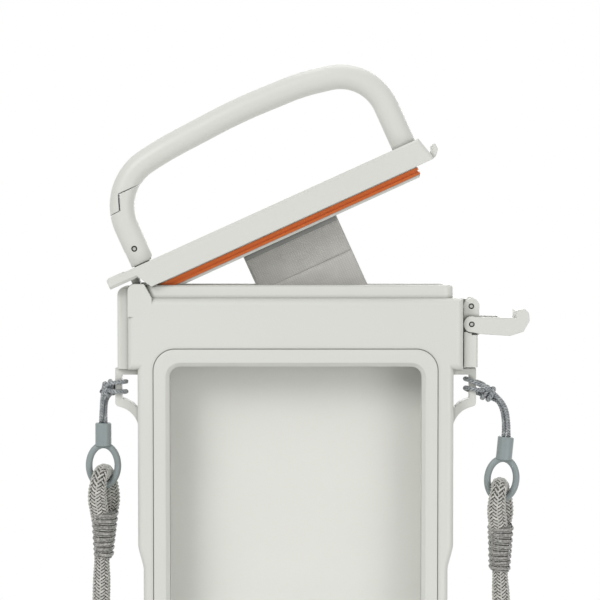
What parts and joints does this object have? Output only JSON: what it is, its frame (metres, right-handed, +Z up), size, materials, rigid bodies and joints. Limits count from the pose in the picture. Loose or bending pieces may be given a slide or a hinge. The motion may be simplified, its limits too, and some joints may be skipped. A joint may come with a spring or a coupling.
{
  "type": "waterproof phone case",
  "caption": "Rigid upright phone pouch with a clear front window, hinged plug lid with a carrying handle, side draw latch and a rope lanyard on two lugs.",
  "frame": {"origin": "centre of the flat base that the case stands on", "axes": "+Z up to the lid, -Y out of the window, +X towards the latch"},
  "size_m": [0.1428, 0.0645, 0.2793],
  "materials": {
    "shell_plastic": "satin off-white",
    "clear_pane": "clear",
    "seal_rubber": "matt grey",
    "gasket_rubber": "orange silicone",
    "dark_plastic": "matt",
    "steel_pin": "turned",
    "strap_fabric": "flat woven tape",
    "lanyard_plastic": "satin grey",
    "cord_fabric": "fine braid",
    "rope_fabric": "braided rope"
  },
  "bodies": {
    "case": {"case_shell": "shell_plastic", "window_bezel": "shell_plastic", "window_pane": "clear_pane", "window_seal": "seal_rubber", "base_cushion": "seal_rubber", "hinge_cover": "shell_plastic", "hinge_pin": "steel_pin", "strap_anchor": "dark_plastic", "anchor_screws": "steel_pin", "lever_pin": "steel_pin", "left_eye": "lanyard_plastic", "right_eye": "lanyard_plastic", "left_cord": "cord_fabric", "right_cord": "cord_fabric", "left_rope": "rope_fabric", "right_rope": "rope_fabric", "left_whipping": "rope_fabric", "right_whipping": "rope_fabric", "rope_hank": "rope_fabric"},
    "lid": {"lid_cap": "shell_plastic", "lid_plug": "shell_plastic", "lid_gasket": "gasket_rubber", "strap_clip": "dark_plastic", "handle": "shell_plastic", "gate_pin": "steel_pin", "gate_spring": "steel_pin", "pull_strap": "strap_fabric"},
    "gate": {"handle_gate": "shell_plastic"},
    "lever": {"latch_lever": "shell_plastic", "link_pin": "steel_pin"},
    "link": {"latch_link": "shell_plastic"}
  },
  "joints": [
    {"name": "lid_hinge", "type": "hinge", "parent": "case", "child": "lid", "pos_m": [-0.05166, 0, 0.20656], "axis": [0, -1, 0], "range_deg": [-24.4, 65], "deforming": ["pull_strap"]},
    {"name": "gate_pivot", "type": "hinge", "parent": "lid", "child": "gate", "pos_m": [-0.05173, 0, 0.22003], "axis": [0, 1, 0], "range_deg": [0, 22], "stiffness_Nm_per_rad": 0.02, "springref_deg": -20.05, "deforming": ["gate_spring"]},
    {"name": "lever_pivot", "type": "hinge", "parent": "case", "child": "lever", "pos_m": [0.0564, 0, 0.2016], "axis": [0, -1, 0], "range_deg": [0, 45]},
    {"name": "link_pivot", "type": "hinge", "parent": "lever", "child": "link", "pos_m": [0.0564, 0, 0.1959], "axis": [0, -1, 0], "range_deg": [0, 44]}
  ]
}
